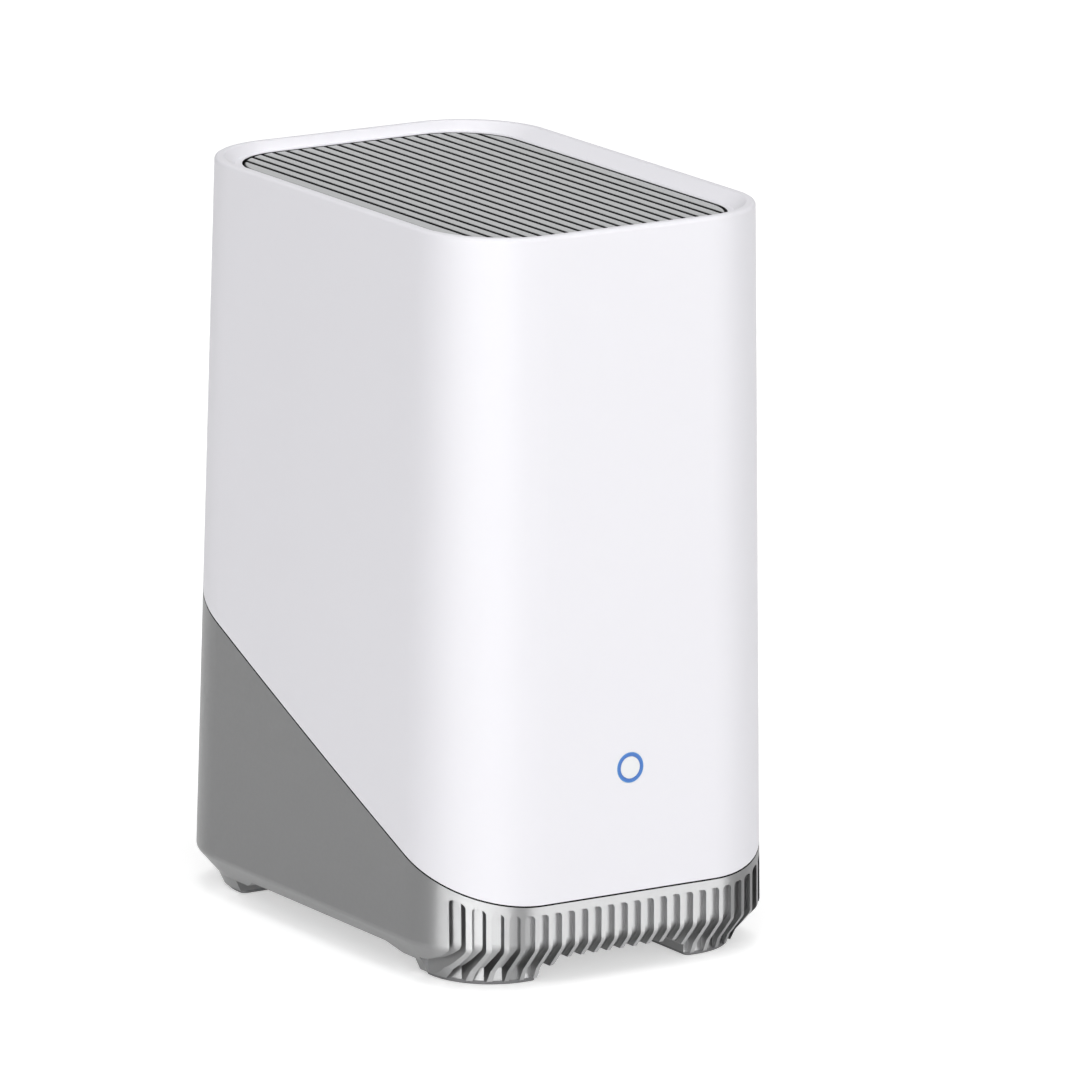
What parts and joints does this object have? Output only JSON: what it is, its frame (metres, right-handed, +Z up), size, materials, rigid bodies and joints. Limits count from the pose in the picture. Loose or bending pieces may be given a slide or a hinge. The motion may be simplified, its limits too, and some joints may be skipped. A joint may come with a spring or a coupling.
{
  "type": "security camera base station",
  "caption": "Upright rounded hub box with a white shell, slotted top grille, indicator ring and sloping ribbed grey base on four corner feet; holds a board, fan, siren and slide-out drive tray.",
  "frame": {"origin": "middle of the bounding box at the height the foot pads rest on", "axes": "+X to the right seen from the front, +Y to the rear (sockets and tray), +Z up"},
  "size_m": [0.1076, 0.1516, 0.2022],
  "materials": {
    "antenna_green": "solder mask",
    "board_green": "solder mask",
    "button_grey": "satin",
    "cage_steel": "zinc plated",
    "cap_white": "smooth",
    "capacitor_metal": "satin can",
    "chip_black": "matte",
    "coil_grey": "pressed powder",
    "cone_black": "pressed",
    "connector_black": "moulded",
    "contact_gold": "gold plated",
    "cover_grey": "satin",
    "fan_black": "moulded",
    "frame_black": "matte",
    "grille_white": "satin",
    "header_cream": "moulded",
    "housing_grey": "satin, faintly metallic",
    "jack_black": "moulded",
    "lead_black": "sleeved",
    "lead_grey": "sleeved",
    "led_yellow": "clear over phosphor",
    "magnet_iron": "plated",
    "motor_steel": "varnished",
    "pad_rubber": "matte",
    "panel_dark": "satin",
    "pin_white": "moulded",
    "plunger_white": "moulded",
    "port_steel": "plated",
    "ribbon_grey": "smooth",
    "ring_blue": "frosted, lit blue",
    "screen_black": "matte",
    "screw_steel": "plated",
    "shell_white": "satin",
    "shield_steel": "tinned",
    "sink_aluminium": "extruded",
    "switch_black": "moulded",
    "thermal_blue": "soft pad",
    "tongue_black": "moulded",
    "tray_white": "satin"
  },
  "bodies": {
    "base_station": {"upper_shell": "shell_white", "top_grille": "grille_white", "lower_housing": "housing_grey", "foot_pad_front_left": "pad_rubber", "foot_pad_front_right": "pad_rubber", "foot_pad_rear_left": "pad_rubber", "foot_pad_rear_right": "pad_rubber", "light_ring": "ring_blue", "ring_cap": "cap_white", "inner_frame": "frame_black", "bottom_cover": "cover_grey", "cover_screws": "screw_steel", "frame_screws": "screw_steel", "deck_screws": "screw_steel", "rear_panel": "panel_dark", "dust_screen": "screen_black", "main_board": "board_green", "processor": "chip_black", "thermal_pad": "thermal_blue", "heat_sink": "sink_aluminium", "heat_sink_pins": "pin_white", "radio_shield": "shield_steel", "memory_chips": "chip_black", "power_coils": "coil_grey", "capacitors": "capacitor_metal", "board_headers": "header_cream", "board_screws": "screw_steel", "network_port": "port_steel", "network_contacts": "contact_gold", "usb_port": "port_steel", "usb_tongue": "tongue_black", "power_jack": "jack_black", "jack_pin": "contact_gold", "switch_body": "switch_black", "led_board": "board_green", "led_chips": "led_yellow", "light_baffle": "frame_black", "led_screws": "screw_steel", "drive_cage": "cage_steel", "cage_screws": "screw_steel", "drive_board": "board_green", "drive_connector": "connector_black", "drive_ribbon": "ribbon_grey", "fan_frame": "fan_black", "fan_motor": "motor_steel", "fan_screws": "screw_steel", "fan_lead": "lead_black", "siren_basket": "frame_black", "siren_cone": "cone_black", "siren_magnet": "magnet_iron", "siren_lead": "lead_black", "wifi_antenna_left": "antenna_green", "wifi_antenna_right": "antenna_green", "sensor_antenna": "antenna_green", "antenna_leads": "lead_grey", "led_lead": "lead_grey"},
    "drive_tray": {"drive_tray": "tray_white"},
    "sync_button": {"sync_button": "button_grey", "switch_plunger": "plunger_white"},
    "fan_rotor": {"fan_rotor": "fan_black"}
  },
  "joints": [
    {"name": "drive_tray_slide", "type": "slide", "parent": "base_station", "child": "drive_tray", "axis": [0, 1, 0], "range_m": [0, 0.105]},
    {"name": "sync_button_press", "type": "slide", "parent": "base_station", "child": "sync_button", "axis": [0, -1, 0], "range_m": [0, 0.0008], "stiffness_N_per_m": 300, "springref_m": -0.001},
    {"name": "fan_rotor_spin", "type": "hinge", "parent": "base_station", "child": "fan_rotor", "pos_m": [0, 0.028, 0.1869], "axis": [0, 0, 1], "continuous": true}
  ]
}
